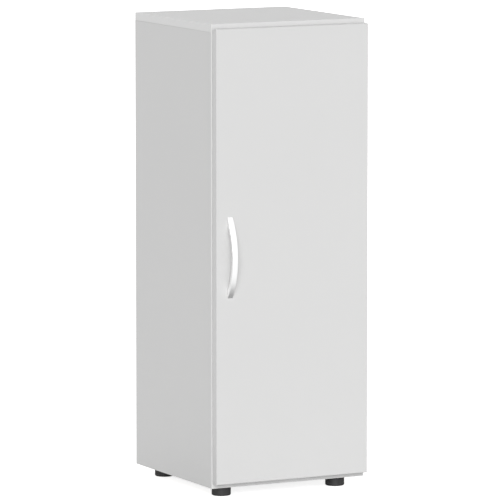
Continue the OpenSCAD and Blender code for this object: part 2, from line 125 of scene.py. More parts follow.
# Painted shade and light in reflections: to mirror-like rays the floor is painted dark close to the
# cabinet, standing in for contact shade, and glows bright further out as a painted reflection; to the
# camera it glows, which washes its shadows out nearly even
dark_out_to, bright_from, painted_shade_depth = 0.30, 0.85, 0.80
painted_reflection_glow, camera_glow = 0.35, 0.80
floor_rays = floor_nodes.new("ShaderNodeLightPath")
floor_distance = floor_nodes.new("ShaderNodeVectorMath")
floor_distance.operation = "LENGTH"
floor_near = floor_nodes.new("ShaderNodeMapRange")
floor_near.interpolation_type = "SMOOTHSTEP"
for label, value in (("From Min", dark_out_to), ("From Max", bright_from), ("To Min", painted_shade_depth),
                     ("To Max", 0.0)):
    floor_near.inputs[label].default_value = value
floor_painted_shade = floor_nodes.new("ShaderNodeMath")
floor_painted_shade.operation = "MULTIPLY"
floor_mix = floor_nodes.new("ShaderNodeMix")
floor_mix.data_type = "RGBA"
floor_mix.inputs["B"].default_value = (0.02, 0.02, 0.02, 1.0)
floor_far = floor_nodes.new("ShaderNodeMath")
floor_far.operation = "SUBTRACT"
floor_painted_reflection_glow = floor_nodes.new("ShaderNodeMath")
floor_painted_reflection_glow.operation = "MULTIPLY"
floor_painted_reflection_glow.inputs[1].default_value = painted_reflection_glow
floor_glow = floor_nodes.new("ShaderNodeMath")
floor_glow.operation = "MULTIPLY_ADD"
floor_glow.inputs[1].default_value = camera_glow
floor_links.new(floor_where.outputs["Object"], floor_distance.inputs[0])
floor_links.new(floor_distance.outputs["Value"], floor_near.inputs["Value"])
floor_links.new(floor_near.outputs["Result"], floor_painted_shade.inputs[0])
floor_links.new(floor_rays.outputs["Is Glossy Ray"], floor_painted_shade.inputs[1])
floor_links.new(floor_painted_shade.outputs["Value"], floor_mix.inputs["Factor"])
floor_links.new(floor_ramp.outputs["Color"], floor_mix.inputs["A"])
floor_links.new(floor_mix.outputs["Result"], floor_shader.inputs["Base Color"])
floor_links.new(floor_rays.outputs["Is Glossy Ray"], floor_far.inputs[0])
floor_links.new(floor_painted_shade.outputs["Value"], floor_far.inputs[1])
floor_links.new(floor_far.outputs["Value"], floor_painted_reflection_glow.inputs[0])
floor_links.new(floor_rays.outputs["Is Camera Ray"], floor_glow.inputs[0])
floor_links.new(floor_painted_reflection_glow.outputs["Value"], floor_glow.inputs[2])
floor_links.new(floor_glow.outputs["Value"], floor_shader.inputs["Emission Strength"])
floor_mesh.materials.append(floor_paint)

# --------------------------------------------------------------------------------------------------
# Side boards. Chipboard faced with light grey melamine paper pressed to a fine pearl grain. Their big
# faces are the paper; the walls of the drilled holes, the groove and the sawn lower ends show the
# chipboard.


def shader_group(name, inputs, outputs):
    """An empty node group with named sockets; returns its tree, input node and output node."""
    tree = bpy.data.node_groups.new(name, "ShaderNodeTree")
    for label, kind, value in inputs:
        socket = tree.interface.new_socket(label, in_out="INPUT", socket_type=kind)
        socket.default_value = value
    for label, kind in outputs:
        tree.interface.new_socket(label, in_out="OUTPUT", socket_type=kind)
    return tree, tree.nodes.new("NodeGroupInput"), tree.nodes.new("NodeGroupOutput")


def noise_in(tree, where, scale, detail=2.0, roughness=0.5, stretch=None):
    """A noise texture on a vector socket, its axes scaled by stretch first; returns its factor socket."""
    if stretch:
        mapping = tree.nodes.new("ShaderNodeMapping")
        mapping.inputs["Scale"].default_value = stretch
        tree.links.new(where, mapping.inputs["Vector"])
        where = mapping.outputs["Vector"]
    noise = tree.nodes.new("ShaderNodeTexNoise")
    noise.inputs["Detail"].default_value = detail
    noise.inputs["Roughness"].default_value = roughness
    tree.links.new(where, noise.inputs["Vector"])
    if isinstance(scale, (int, float)):
        noise.inputs["Scale"].default_value = scale
    else:
        tree.links.new(scale, noise.inputs["Scale"])
    return noise.outputs["Fac"]


def maths(tree, operation, a, b=None, clamp=False):
    """A Math node on sockets or numbers; returns its value socket."""
    step = tree.nodes.new("ShaderNodeMath")
    step.operation = operation
    step.use_clamp = clamp
    for socket, value in zip(step.inputs, (a, b)):
        if isinstance(value, (int, float)):
            socket.default_value = value
        elif value is not None:
            tree.links.new(value, socket)
    return step.outputs["Value"]


def shade(tree, colour, factor):
    """A colour socket times a grey factor socket; returns the product's colour socket."""
    mix = tree.nodes.new("ShaderNodeMix")
    mix.data_type = "RGBA"
    mix.blend_type = "MULTIPLY"
    mix.inputs["Factor"].default_value = 1.0
    tree.links.new(colour, mix.inputs["A"])
    tree.links.new(factor, mix.inputs["B"])
    return mix.outputs["Result"]


# Soft clouding of a printed or moulded surface: a wide slow drift, a finer fleck, and a matching roughness.
clouding, given, made = shader_group(
    "surface_clouding",
    (("Colour", "NodeSocketColor", (0.7, 0.7, 0.7, 1)), ("Position", "NodeSocketVector", (0, 0, 0)),
     ("Drift scale", "NodeSocketFloat", 4.0), ("Fleck scale", "NodeSocketFloat", 900.0),
     ("Amount", "NodeSocketFloat", 0.03), ("Roughness", "NodeSocketFloat", 0.45),
     ("Roughness spread", "NodeSocketFloat", 0.08)),
    (("Colour", "NodeSocketColor"), ("Roughness", "NodeSocketFloat"), ("Fleck", "NodeSocketFloat")))
drift = noise_in(clouding, given.outputs["Position"], given.outputs["Drift scale"], detail=3.0)
fleck = noise_in(clouding, given.outputs["Position"], given.outputs["Fleck scale"], detail=2.0)
centred_drift = maths(clouding, "SUBTRACT", drift, 0.5)
centred_fleck = maths(clouding, "SUBTRACT", fleck, 0.5)
fleck_share = 0.6
both = maths(clouding, "ADD", centred_drift, maths(clouding, "MULTIPLY", centred_fleck, fleck_share))
level = maths(clouding, "ADD", maths(clouding, "MULTIPLY", both, given.outputs["Amount"]), 1.0)
clouding.links.new(shade(clouding, given.outputs["Colour"], level), made.inputs["Colour"])
spread = maths(clouding, "MULTIPLY", centred_drift, given.outputs["Roughness spread"])
clouding.links.new(maths(clouding, "ADD", spread, given.outputs["Roughness"], clamp=True),
                   made.inputs["Roughness"])
clouding.links.new(fleck, made.inputs["Fleck"])


def finish(name, metallic=0.0, specular=0.5):
    """A material with a Principled shader and the piece's own coordinates; returns it with those parts."""
    material = bpy.data.materials.new(name)
    material.use_nodes = True
    tree = material.node_tree
    shader = tree.nodes["Principled BSDF"]
    shader.inputs["Metallic"].default_value = metallic
    shader.inputs["Specular IOR Level"].default_value = specular
    where = tree.nodes.new("ShaderNodeTexCoord").outputs["Object"]
    return material, tree, shader, where


def use_group(tree, group, position, **values):
    """Places a node group, feeds its Position, and sets its other inputs; underscores stand for spaces."""
    node = tree.nodes.new("ShaderNodeGroup")
    node.node_tree = group
    tree.links.new(position, node.inputs["Position"])
    for label, value in values.items():
        node.inputs[label.replace("_", " ")].default_value = value
    return node


def bumped(tree, shader, height, strength, distance):
    """Feeds a height socket to the shader's normal."""
    bump = tree.nodes.new("ShaderNodeBump")
    bump.inputs["Strength"].default_value = strength
    bump.inputs["Distance"].default_value = distance
    tree.links.new(height, bump.inputs["Height"])
    tree.links.new(bump.outputs["Normal"], shader.inputs["Normal"])


def clouded_finish(name, colour, roughness, amount=0.03, drift_scale=4.0, fleck_scale=900.0, spread=0.08,
                   grain=0.25, grain_depth=0.00004, metallic=0.0, specular=0.5):
    """A plain finish whose colour, gloss and fine grain vary a little over the surface."""
    material, tree, shader, where = finish(name, metallic, specular)
    clouds = use_group(tree, clouding, where, Colour=(*colour, 1), Drift_scale=drift_scale,
                       Fleck_scale=fleck_scale, Amount=amount, Roughness=roughness, Roughness_spread=spread)
    tree.links.new(clouds.outputs["Colour"], shader.inputs["Base Color"])
    tree.links.new(clouds.outputs["Roughness"], shader.inputs["Roughness"])
    bumped(tree, shader, clouds.outputs["Fleck"], grain, grain_depth)
    return material


melamine = clouded_finish("melamine_light_grey", (0.638, 0.638, 0.636), roughness=0.45, amount=0.035,
                          drift_scale=3.5, fleck_scale=1100.0, grain=0.35, grain_depth=0.00005,
                          specular=0.25)

# Sawn chipboard: pressed wood flakes of several browns
chipboard, chip_tree, chip_shader, chip_where = finish("sawn_chipboard", specular=0.2)
chip_cells = chip_tree.nodes.new("ShaderNodeTexVoronoi")
chip_cells.inputs["Scale"].default_value = 420.0
chip_tree.links.new(chip_where, chip_cells.inputs["Vector"])
chip_ramp = chip_tree.nodes.new("ShaderNodeValToRGB")
chip_ramp.color_ramp.elements[0].color = (0.20, 0.12, 0.06, 1)
chip_ramp.color_ramp.elements[1].color = (0.58, 0.43, 0.27, 1)
chip_tree.links.new(chip_cells.outputs["Color"], chip_ramp.inputs["Fac"])
chip_tree.links.new(chip_ramp.outputs["Color"], chip_shader.inputs["Base Color"])
chip_shader.inputs["Roughness"].default_value = 0.85
bumped(chip_tree, chip_shader, chip_cells.outputs["Distance"], 0.5, 0.0003)


def new_piece(bm, name, body, materials, smooth_below=35.0):
    """Turns a finished bmesh into a piece: normals out, smooth where it is round, riding on its body."""
    bmesh.ops.recalc_face_normals(bm, faces=bm.faces)
    limit = radians(smooth_below)
    for face in bm.faces:
        face.smooth = True
    for edge in bm.edges:
        edge.smooth = len(edge.link_faces) == 2 and edge.calc_face_angle() < limit
    mesh = bpy.data.meshes.new(name)
    bm.to_mesh(mesh)
    bm.free()
    for material in materials:
        mesh.materials.append(material)
    piece = bpy.data.objects.new(name, mesh)
    studio.collection.objects.link(piece)
    flats = piece.modifiers.new("flat_faces_shade_flat", "WEIGHTED_NORMAL")
    flats.keep_sharp = True
    flats.weight = 90
    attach(piece, body)
    return piece


def merged_copy(node):
    """A bmesh of a CAD node with its loose triangles welded and its flat faces joined up."""
    bm = bmesh.new()
    bm.from_mesh(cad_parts[node].data)
    bmesh.ops.remove_doubles(bm, verts=bm.verts, dist=0.00001)
    bmesh.ops.dissolve_degenerate(bm, edges=bm.edges, dist=0.00001)
    bmesh.ops.dissolve_limit(bm, angle_limit=radians(0.6), verts=bm.verts, edges=bm.edges, delimit=set())
    return bm


def ease_edges(bm, radius, choose=lambda edge: True, segments=2, sharp=50.0):
    """Rounds the chosen sharp edges, as sanding, scraping or tumbling does."""
    edges = [edge for edge in bm.edges
             if len(edge.link_faces) == 2 and edge.is_convex and edge.calc_face_angle() > radians(sharp)
             and choose(edge)]
    bmesh.ops.bevel(bm, geom=edges, offset=radius, offset_type="OFFSET", affect="EDGES", segments=segments,
                    profile=0.5, material=-1, clamp_overlap=True)


def outline_edge(low, high, slack=0.00002):
    """A test for edges that lie on two or more planes of the box, which are a board's long outer edges."""
    def planes(point):
        return {(axis, end) for axis in range(3) for end, corner in enumerate((low, high))
                if abs(point[axis] - corner[axis]) < slack}

    return lambda edge: len(planes(edge.verts[0].co) & planes(edge.verts[1].co)) >= 2


def board(node, name, body, face_axes, radius=0.0003):
    """A faced board from its CAD node: eased outer edges, paper on its faces, chipboard inside its cuts."""
    low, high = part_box(node)
    bm = merged_copy(node)
    ease_edges(bm, radius, outline_edge(low, high))
    for face in bm.faces:
        centre = face.calc_center_median()
        outer = any(min(abs(centre[axis] - low[axis]), abs(centre[axis] - high[axis])) < 2 * radius
                    for axis in range(3))
        sawn_end = abs(face.normal.z) > 0.9 and "z" not in face_axes and centre.z < low.z + radius
        face.material_index = 0 if outer and not sawn_end else 1
    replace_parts(new_piece(bm, name, body, (melamine, chipboard)), node)


board("side_left", "side_board_left", "root", "x")
board("side_right", "side_board_right", "root", "x")

# --------------------------------------------------------------------------------------------------
# Edge banding of the carcass. Thin plastic strips glued to the board edges and trimmed flush, with the
# outer corners scraped round; a little smoother than the paper beside them.
edge_plastic = clouded_finish("edge_band_plastic", (0.690, 0.690, 0.688), roughness=0.36, amount=0.02,
                              drift_scale=9.0, fleck_scale=1500.0, grain=0.15, grain_depth=0.00003)
scrape_radius = 0.0008


def band(node, name, body, outward, material=edge_plastic):
    """Edge strips from their CAD node, rounded where they turn onto the free faces."""
    low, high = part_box(node)
    bm = merged_copy(node)
    ease_edges(bm, scrape_radius, outward(low, high), segments=3)
    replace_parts(new_piece(bm, name, body, (material,)), node)


def front_edges(low, high, slack=0.00002):
    """Edges in the foremost plane of the strip."""
    return lambda edge: all(abs(vert.co.y - low.y) < slack for vert in edge.verts)


band("side_left_band", "side_band_left", "root", front_edges)
band("side_right_band", "side_band_right", "root", front_edges)

# --------------------------------------------------------------------------------------------------
# Top board. The same faced board, laid over the two sides and drawn down on them, with plastic strips
# glued along its front and both ends.
board("top_panel", "top_board", "root", "z")


def top_strip_edges(low, high, slack=0.00002):
    """The outer edges of the three strips round the top."""
    def outer(vert):
        return (abs(vert.co.y - low.y) < slack or abs(vert.co.x - low.x) < slack
                or abs(vert.co.x - high.x) < slack)

    return lambda edge: outer(edge.verts[0]) and outer(edge.verts[1])


band("top_bands", "top_band", "root", top_strip_edges)

# --------------------------------------------------------------------------------------------------
# Bottom board and its strip. The same faced board, set between the sides, with one strip along its front;
# it carries the sleeves of the feet.
board("bottom_panel", "bottom_board", "root", "z")
band("bottom_band", "bottom_strip", "root", front_edges)

# --------------------------------------------------------------------------------------------------
# Back board. Thin fibreboard faced like the other boards, slid into grooves in them, so that only its two
# faces show.
board("back_panel", "back_board", "root", "y")

# --------------------------------------------------------------------------------------------------
# Connectors. Die-cast zinc cams in round pockets draw steel bolts and the boards together; fluted beech
# dowels keep them in line. The cams inside the cabinet hide under plastic caps, those below the bottom
# board stay bare.


def solids(node):
    """The separate solids of a CAD node, as (low, high) corners, sorted by place."""
    bm = merged_copy(node)
    left, found = set(bm.verts), []
    while left:
        island, queue = set(), [left.pop()]
        while queue:
            vert = queue.pop()
            island.add(vert)
            for edge in vert.link_edges:
                other = edge.other_vert(vert)
                if other in left:
                    left.discard(other)
                    queue.append(other)
        places = [vert.co for vert in island]
        found.append((Vector([min(place[axis] for place in places) for axis in range(3)]),
                      Vector([max(place[axis] for place in places) for axis in range(3)])))
    bm.free()
    return sorted(found, key=lambda corners: tuple(round(value, 5) for value in corners[0]))


def cut_away(bm, cutter):
    """A new bmesh: the first with the second cut out of it. Both are used up."""
    parts = []
    for name, shape in (("cut_body", bm), ("cut_tool", cutter)):
        mesh = bpy.data.meshes.new(name)
        shape.to_mesh(mesh)
        shape.free()
        parts.append(bpy.data.objects.new(name, mesh))
        studio.collection.objects.link(parts[-1])
    boolean = parts[0].modifiers.new("cut", "BOOLEAN")
    boolean.operation = "DIFFERENCE"
    boolean.object = parts[1]
    boolean.use_self = True
    bpy.context.view_layer.update()
    result = bmesh.new()
    result.from_object(parts[0], bpy.context.evaluated_depsgraph_get())
    for part in parts:
        mesh = part.data
        bpy.data.objects.remove(part)
        bpy.data.meshes.remove(mesh)
    return result


def turned(outline, steps=40):
    """A closed solid turned about Z from (radius, height) points that start and end on the axis."""
    bm = bmesh.new()
    verts = [bm.verts.new((radius, 0, height)) for radius, height in outline]
    edges = [bm.edges.new(pair) for pair in zip(verts, verts[1:])]
    bmesh.ops.spin(bm, geom=verts + edges, cent=(0, 0, 0), axis=(0, 0, 1), angle=tau, steps=steps,
                   use_merge=True)
    bmesh.ops.remove_doubles(bm, verts=bm.verts, dist=0.000002)
    bmesh.ops.recalc_face_normals(bm, faces=bm.faces)
    return bm


def cross_cutter(radius, width, depth, top):
    """Two crossing tapered bars, for the recess of a cross-head screw whose face is at height top."""
    bm = bmesh.new()
    for quarter in (0, pi / 2):
        bar = bmesh.ops.create_cube(bm, size=1)["verts"]
        bmesh.ops.scale(bm, vec=(2 * radius, width, 2 * depth), verts=bar)
        bmesh.ops.translate(bm, vec=(0, 0, top), verts=bar)
        for vert in bar:
            if vert.co.z < top:
                vert.co.x *= 0.45
        bmesh.ops.rotate(bm, cent=(0, 0, 0), matrix=Matrix.Rotation(quarter, 3, "Z"), verts=bar)
    return bm


def copies(template, places, into=None):
    """The template at each 4x4 place, in a new bmesh or added to a given one. The template is used up."""
    mesh = bpy.data.meshes.new("template")
    template.to_mesh(mesh)
    template.free()
    bm = bmesh.new() if into is None else into
    for place in places:
        before = set(bm.verts)
        bm.from_mesh(mesh)
        bmesh.ops.transform(bm, matrix=place, verts=[vert for vert in bm.verts if vert not in before])
    bpy.data.meshes.remove(mesh)
    return bm


def facing(point, direction):
    """A place at a point with its local Z along a direction."""
    return Matrix.Translation(point) @ Vector(direction).to_track_quat("Z", "Y").to_matrix().to_4x4()


zinc = clouded_finish("die_cast_zinc", (0.50, 0.50, 0.51), roughness=0.46, amount=0.16, drift_scale=90.0,
                      fleck_scale=2200.0, spread=0.2, grain=0.35, grain_depth=0.00004, metallic=1.0)
cam_bm = merged_copy("cam_housings")
ease_edges(cam_bm, 0.0003)
recess_bm = bmesh.new()
recess_radius, recess_width, recess_depth = 0.0035, 0.0014, 0.0025
for low, high in solids("cam_housings"):
    upright = high.z - low.z < high.x - low.x
    inwards = (0, 0, -1) if upright else ((1, 0, 0) if low.x < 0 else (-1, 0, 0))
    face_centre = Vector(((low.x + high.x) / 2, (low.y + high.y) / 2, (low.z + high.z) / 2))
    axis = 2 if upright else 0
    face_centre[axis] = low[axis] if inwards[axis] < 0 else high[axis]
    copies(cross_cutter(recess_radius, recess_width, recess_depth, 0.0), (facing(face_centre, inwards),),
           into=recess_bm)
cams = new_piece(cut_away(cam_bm, recess_bm), "cam_set", "root", (zinc,))
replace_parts(cams, "cam_housings")

soft_grey = clouded_finish("cap_plastic", (0.60, 0.60, 0.60), roughness=0.38, amount=0.03, drift_scale=40.0,
                           fleck_scale=1800.0, grain=0.12, grain_depth=0.00002)
cap_places = []
for low, high in solids("cam_caps"):
    outwards = 1 if low.x < 0 else -1
    foot_x = low.x if outwards > 0 else high.x
    cap_places.append(facing((foot_x, (low.y + high.y) / 2, (low.z + high.z) / 2), (outwards, 0, 0)))
cap_radius, cap_height = (high.y - low.y) / 2, high.x - low.x
cap = turned(((0, 0), (cap_radius, 0), (cap_radius, cap_height * 0.45),
              (cap_radius - 0.0005, cap_height * 0.8), (cap_radius - 0.0013, cap_height),
              (0.0016, cap_height), (0.0012, cap_height - 0.0004), (0, cap_height - 0.0005)))
caps = new_piece(copies(cap, cap_places), "cam_cap_set", "root", (soft_grey,))
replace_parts(caps, "cam_caps")

nickel = clouded_finish("nickel_plate", (0.66, 0.655, 0.64), roughness=0.26, amount=0.10, drift_scale=60.0,
                        fleck_scale=2600.0, spread=0.18, grain=0.12, grain_depth=0.00002, metallic=1.0)
beech, beech_tree, beech_shader, beech_where = finish("beech_dowel", specular=0.3)
beech_grain = noise_in(beech_tree, beech_where, 30.0, detail=4.0, stretch=(1, 14, 14))
beech_ramp = beech_tree.nodes.new("ShaderNodeValToRGB")
beech_ramp.color_ramp.elements[0].color = (0.42, 0.26, 0.14, 1)
beech_ramp.color_ramp.elements[1].color = (0.68, 0.50, 0.33, 1)
beech_tree.links.new(beech_grain, beech_ramp.inputs["Fac"])
beech_tree.links.new(beech_ramp.outputs["Color"], beech_shader.inputs["Base Color"])
beech_shader.inputs["Roughness"].default_value = 0.6
bumped(beech_tree, beech_shader, beech_grain, 0.3, 0.0001)


def along_boards(node):
    """Where each bar of a CAD node starts, inside its first board, and its length."""
    places = []
    for low, high in solids(node):
        upright = high.z - low.z > high.x - low.x
        outwards = (0, 0, 1) if upright else ((1, 0, 0) if low.x > 0 else (-1, 0, 0))
        axis = 2 if upright else 0
        start = (low + high) / 2
        start[axis] = low[axis] if outwards[axis] > 0 else high[axis]
        places.append(facing(start, outwards))
    return places, high[axis] - low[axis]


# The bolt's ball head, which the cam draws in, its shank, a stop collar, and a coarse thread cut by rings
bolt_places, bolt_length = along_boards("cam_bolts")
bolt_radius, neck_radius, threaded_length = 0.0035, 0.0022, 0.011
ring_root, ring_crest, ring_pitch, ring_count, bolt_point = 0.0019, 0.0025, 0.0016, 6, 0.0008
collar_end = bolt_length - threaded_length
bolt_outline = [(0, 0), (0.0025, 0), (bolt_radius, 0.0012), (bolt_radius, 0.0030), (neck_radius, 0.0042),
                (neck_radius, 0.0075), (bolt_radius, 0.0085), (bolt_radius, collar_end)]
for ring in range(ring_count):
    base = collar_end + 0.0003 + ring * ring_pitch
    bolt_outline += [(ring_root, base), (ring_crest, base + ring_pitch / 2)]
bolt_outline += [(ring_root, bolt_length - bolt_point), (0.0009, bolt_length), (0, bolt_length)]
bolts = copies(turned(bolt_outline, steps=24), bolt_places)
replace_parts(new_piece(bolts, "cam_bolt_set", "root", (nickel,)), "cam_bolts")

# Dowels are fluted along their length for the glue, with chamfered ends
dowel_places, dowel_length = along_boards("dowels")
dowel_radius, dowel_chamfer, flutes, flute_share = 0.004, 0.001, 16, 0.93
dowel = turned(((0, 0), (dowel_radius - dowel_chamfer, 0), (dowel_radius, dowel_chamfer),
                (dowel_radius, dowel_length - dowel_chamfer), (dowel_radius - dowel_chamfer, dowel_length),
                (0, dowel_length)), steps=2 * flutes)
for vert in dowel.verts:
    between = round(atan2(vert.co.y, vert.co.x) / (pi / flutes)) % 2
    if between and vert.co.xy.length > 0.9 * dowel_radius:
        vert.co.xy *= flute_share
dowels = new_piece(copies(dowel, dowel_places), "dowel_set", "root", (beech,), smooth_below=20.0)
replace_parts(dowels, "dowels")

# --------------------------------------------------------------------------------------------------
# Levelling feet. Black moulded feet on plated screws, which climb in steel sleeves pressed into the
# bottom board. A screwdriver reaches each screw from inside, through a hole that a plastic plug closes.
foot_black = clouded_finish("foot_moulded_black", (0.050, 0.050, 0.051), roughness=0.42, amount=0.25,
                            drift_scale=35.0, fleck_scale=1400.0, spread=0.16, grain=0.5,
                            grain_depth=0.00006)
thread_pitch, thread_depth, thread_steps = 0.0015, 0.0009, 28
slot_length, slot_width, slot_depth = 0.03, 0.0016, 0.002
foot_edge_round, running_clearance = 0.003, 0.00005


def threaded_rod(radius, low_z, high_z):
    """A rod with a real helical thread along its length, cut square at both ends."""
    bm = bmesh.new()
    turns = int((high_z - low_z) / thread_pitch) + 3
    start = low_z - thread_pitch
    tooth = ((radius - thread_depth, 0.0), (radius, 0.42), (radius, 0.58), (radius - thread_depth, 1.0))
    verts = [bm.verts.new((r, 0, start + share * thread_pitch)) for r, share in tooth]
    edges = [bm.edges.new(pair) for pair in zip(verts, verts[1:])]
    bmesh.ops.spin(bm, geom=verts + edges, cent=(0, 0, 0), axis=(0, 0, 1), angle=turns * tau,
                   dvec=(0, 0, thread_pitch / thread_steps), steps=turns * thread_steps, use_merge=False)
    bmesh.ops.remove_doubles(bm, verts=bm.verts, dist=0.00002)
    for height, side in ((low_z, -1), (high_z, 1)):
        bmesh.ops.bisect_plane(bm, geom=bm.verts[:] + bm.edges[:] + bm.faces[:], plane_co=(0, 0, height),
                               plane_no=(0, 0, side), clear_outer=True)
    bmesh.ops.remove_doubles(bm, verts=bm.verts, dist=0.00001)
    bmesh.ops.holes_fill(bm, edges=[edge for edge in bm.edges if edge.is_boundary], sides=0)
    bmesh.ops.recalc_face_normals(bm, faces=bm.faces)
    return bm


for corner in ("front_left", "front_right", "rear_left", "rear_right"):
    low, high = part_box("foot_" + corner)
    middle = Vector(((low.x + high.x) / 2, (low.y + high.y) / 2, 0))
    radius, top = (high.x - low.x) / 2, high.z
    spindle_low, spindle_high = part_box("spindle_" + corner)
    spindle_radius = (spindle_high.x - spindle_low.x) / 2
    socket_radius = spindle_radius + running_clearance
    arc = [(radius - foot_edge_round + foot_edge_round * sin(step * pi / 12),
            foot_edge_round - foot_edge_round * cos(step * pi / 12)) for step in range(7)]
    hollow_base = [(0, 0.0022), (0.0085, 0.0022), (0.0095, 0.0006), (0.0110, 0.0)]
    grooved_wall = [(radius, top - 0.0062), (radius - 0.0005, top - 0.0058),
                    (radius - 0.0005, top - 0.0048), (radius, top - 0.0044), (radius, top - 0.0010),
                    (radius - 0.0008, top)]
    bore = [(socket_radius + 0.0035, top), (socket_radius + 0.0030, top - 0.0008),
            (socket_radius, top - 0.0008), (socket_radius, spindle_low.z), (0, spindle_low.z)]
    shape = turned(hollow_base + arc + grooved_wall + bore, steps=72)
    bmesh.ops.translate(shape, vec=middle, verts=shape.verts)
    foot = new_piece(shape, "foot_moulded_" + corner, "foot_" + corner, (foot_black,))
    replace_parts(foot, "foot_" + corner)

    rod = threaded_rod(spindle_radius, spindle_low.z, spindle_high.z)
    slot_cut = bmesh.new()
    bar = bmesh.ops.create_cube(slot_cut, size=1)["verts"]
    bmesh.ops.scale(slot_cut, vec=(slot_length, slot_width, 2 * slot_depth), verts=bar)
    bmesh.ops.translate(slot_cut, vec=(0, 0, spindle_high.z), verts=bar)
    rod = cut_away(rod, slot_cut)
    bmesh.ops.translate(rod, vec=middle, verts=rod.verts)
    rod_piece = new_piece(rod, "spindle_rod_" + corner, "spindle_" + corner, (nickel,))
    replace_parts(rod_piece, "spindle_" + corner)


def plated(node, name, body, radius, material=nickel):
    """A small stamped, cast or moulded piece from its CAD node, with tumbled edges."""
    bm = merged_copy(node)
    ease_edges(bm, radius)
    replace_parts(new_piece(bm, name, body, (material,)), node)


plated("foot_sleeves", "foot_sleeve_set", "root", 0.0003)

plug_places = []
for low, high in solids("foot_plugs"):
    plug_places.append(Matrix.Translation(((low.x + high.x) / 2, (low.y + high.y) / 2, low.z)))
plug_radius, plug_height = (high.x - low.x) / 2, high.z - low.z
plug_stem, plug_rim = 0.007, 0.001
plug = turned(((0, 0), (plug_stem - 0.0006, 0), (plug_stem, 0.0006), (plug_stem, plug_height - plug_rim),
               (plug_radius, plug_height - plug_rim), (plug_radius, plug_height - 0.0006),
               (plug_radius - 0.0006, plug_height), (0.0030, plug_height), (0.0024, plug_height - 0.0005),
               (0, plug_height - 0.0006)))
plugs = new_piece(copies(plug, plug_places), "foot_plug_set", "root", (soft_grey,))
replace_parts(plugs, "foot_plugs")

# --------------------------------------------------------------------------------------------------
# Shelves. Two loose boards with a strip along their front edge, resting on nickel-plated steel pins
# plugged into the hole columns of the sides.
for level in ("lower", "upper"):
    board("shelf_" + level, "shelf_board_" + level, "root", "z")
    band("shelf_" + level + "_band", "shelf_band_" + level, "root", front_edges)
plated("shelf_pins", "shelf_pin_set", "root", 0.0005)

# --------------------------------------------------------------------------------------------------
# Hinge plates and arms. Stamped plates screwed into the hole column of the right side, and cast arms with
# a bent neck that reaches into the cup of the door; all nickel plated.


def screw_head(radius, height):
    """A domed head with a cross recess. Under its seat a low head runs on as a countersunk cone."""
    sunk = 0.0008 if height < 0.0012 else 0.0
    under = [(0, -sunk), (radius - sunk, -sunk)] if sunk else [(0, 0)]
    shape = turned(under + [(radius, 0), (radius, height * 0.35), (radius * 0.93, height * 0.72),
                            (radius * 0.72, height * 0.94), (radius * 0.4, height), (0, height)], steps=32)
    depth = min(0.0016, 0.8 * (height + sunk))
    return cut_away(shape, cross_cutter(radius * 0.55, radius * 0.22, depth, height))


def screw_shank(radius, length):
    """A pointed shank from just above height 0 downwards, with its thread cut as rings."""
    pitch, root, point = 0.0013, 0.74 * radius, 0.0018
    outline = [(0, -length), (root, point - length)]
    for ring in range(int((length - point - 0.0015) / pitch)):
        base = point - length + ring * pitch
        outline += [(radius, base + 0.5 * pitch), (root, base + pitch)]
    return turned(outline + [(root, 0.0002), (0, 0.0002)], steps=20)


def screws(node, name, body, direction, head_radius, head_height, shank_radius, seat):
    """Every screw of a CAD node: a threaded shank, and a head whose foot is at seat on the axis."""
    axis = [abs(value) for value in direction].index(1)
    places, lengths = [], []
    for low, high in solids(node):
        centre = (low + high) / 2
        centre[axis] = seat(low, high)
        places.append(facing(centre, direction))
        end = low[axis] if direction[axis] > 0 else high[axis]
        lengths.append(abs(centre[axis] - end))
    bm = copies(screw_head(head_radius, head_height), places)
    for place, length in zip(places, lengths):
        copies(screw_shank(shank_radius, length), (place,), into=bm)
    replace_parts(new_piece(bm, name, body, (nickel,)), node)


plated("hinge_plates", "hinge_plate_set", "root", 0.0004)
plated("hinge_arms", "hinge_arm_set", "root", 0.0006)
plate_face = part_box("hinge_plates")[0].x
arm_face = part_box("hinge_arms")[0].x
screws("hinge_plate_screws", "hinge_plate_screw_set", "root", (-1, 0, 0), head_radius=0.004,
       head_height=0.002, shank_radius=0.0025, seat=lambda low, high: plate_face)
screws("hinge_arm_screws", "hinge_arm_screw_set", "root", (-1, 0, 0), head_radius=0.004,
       head_height=0.002, shank_radius=0.002, seat=lambda low, high: arm_face)

# --------------------------------------------------------------------------------------------------
# Magnetic catch. A moulded housing screwed inside the left side, holding a dark ferrite block between two
# steel plates that stand a little proud of it.
plated("catch_housing", "catch_case", "root", 0.0006, soft_grey)
ferrite = clouded_finish("magnet_ferrite", (0.055, 0.055, 0.058), roughness=0.55, amount=0.3,
                         drift_scale=120.0, fleck_scale=2400.0, spread=0.15, grain=0.4,
                         grain_depth=0.00003)
low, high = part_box("catch_magnet")
pole_thick, pole_proud = 0.0014, 0.0006
magnet_bm = bmesh.new()
for x0, x1, drop, index in ((low.x, low.x + pole_thick, 0, 1), (high.x - pole_thick, high.x, 0, 1),
                            (low.x + pole_thick, high.x - pole_thick, pole_proud, 0)):
    block = bmesh.ops.create_cube(magnet_bm, size=1)["verts"]
    front = low.y + drop
    bmesh.ops.scale(magnet_bm, vec=(x1 - x0, high.y - front, high.z - low.z), verts=block)
    block_middle = ((x0 + x1) / 2, (front + high.y) / 2, (low.z + high.z) / 2)
    bmesh.ops.translate(magnet_bm, vec=block_middle, verts=block)
    for face in {face for vert in block for face in vert.link_faces}:
        face.material_index = index
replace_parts(new_piece(magnet_bm, "catch_magnet_block", "root", (ferrite, nickel)), "catch_magnet")
catch_head = 0.002
catch_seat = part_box("catch_screws")[1].x - catch_head
screws("catch_screws", "catch_screw_set", "root", (1, 0, 0), head_radius=0.0035,
       head_height=catch_head, shank_radius=0.00175, seat=lambda low, high: catch_seat)

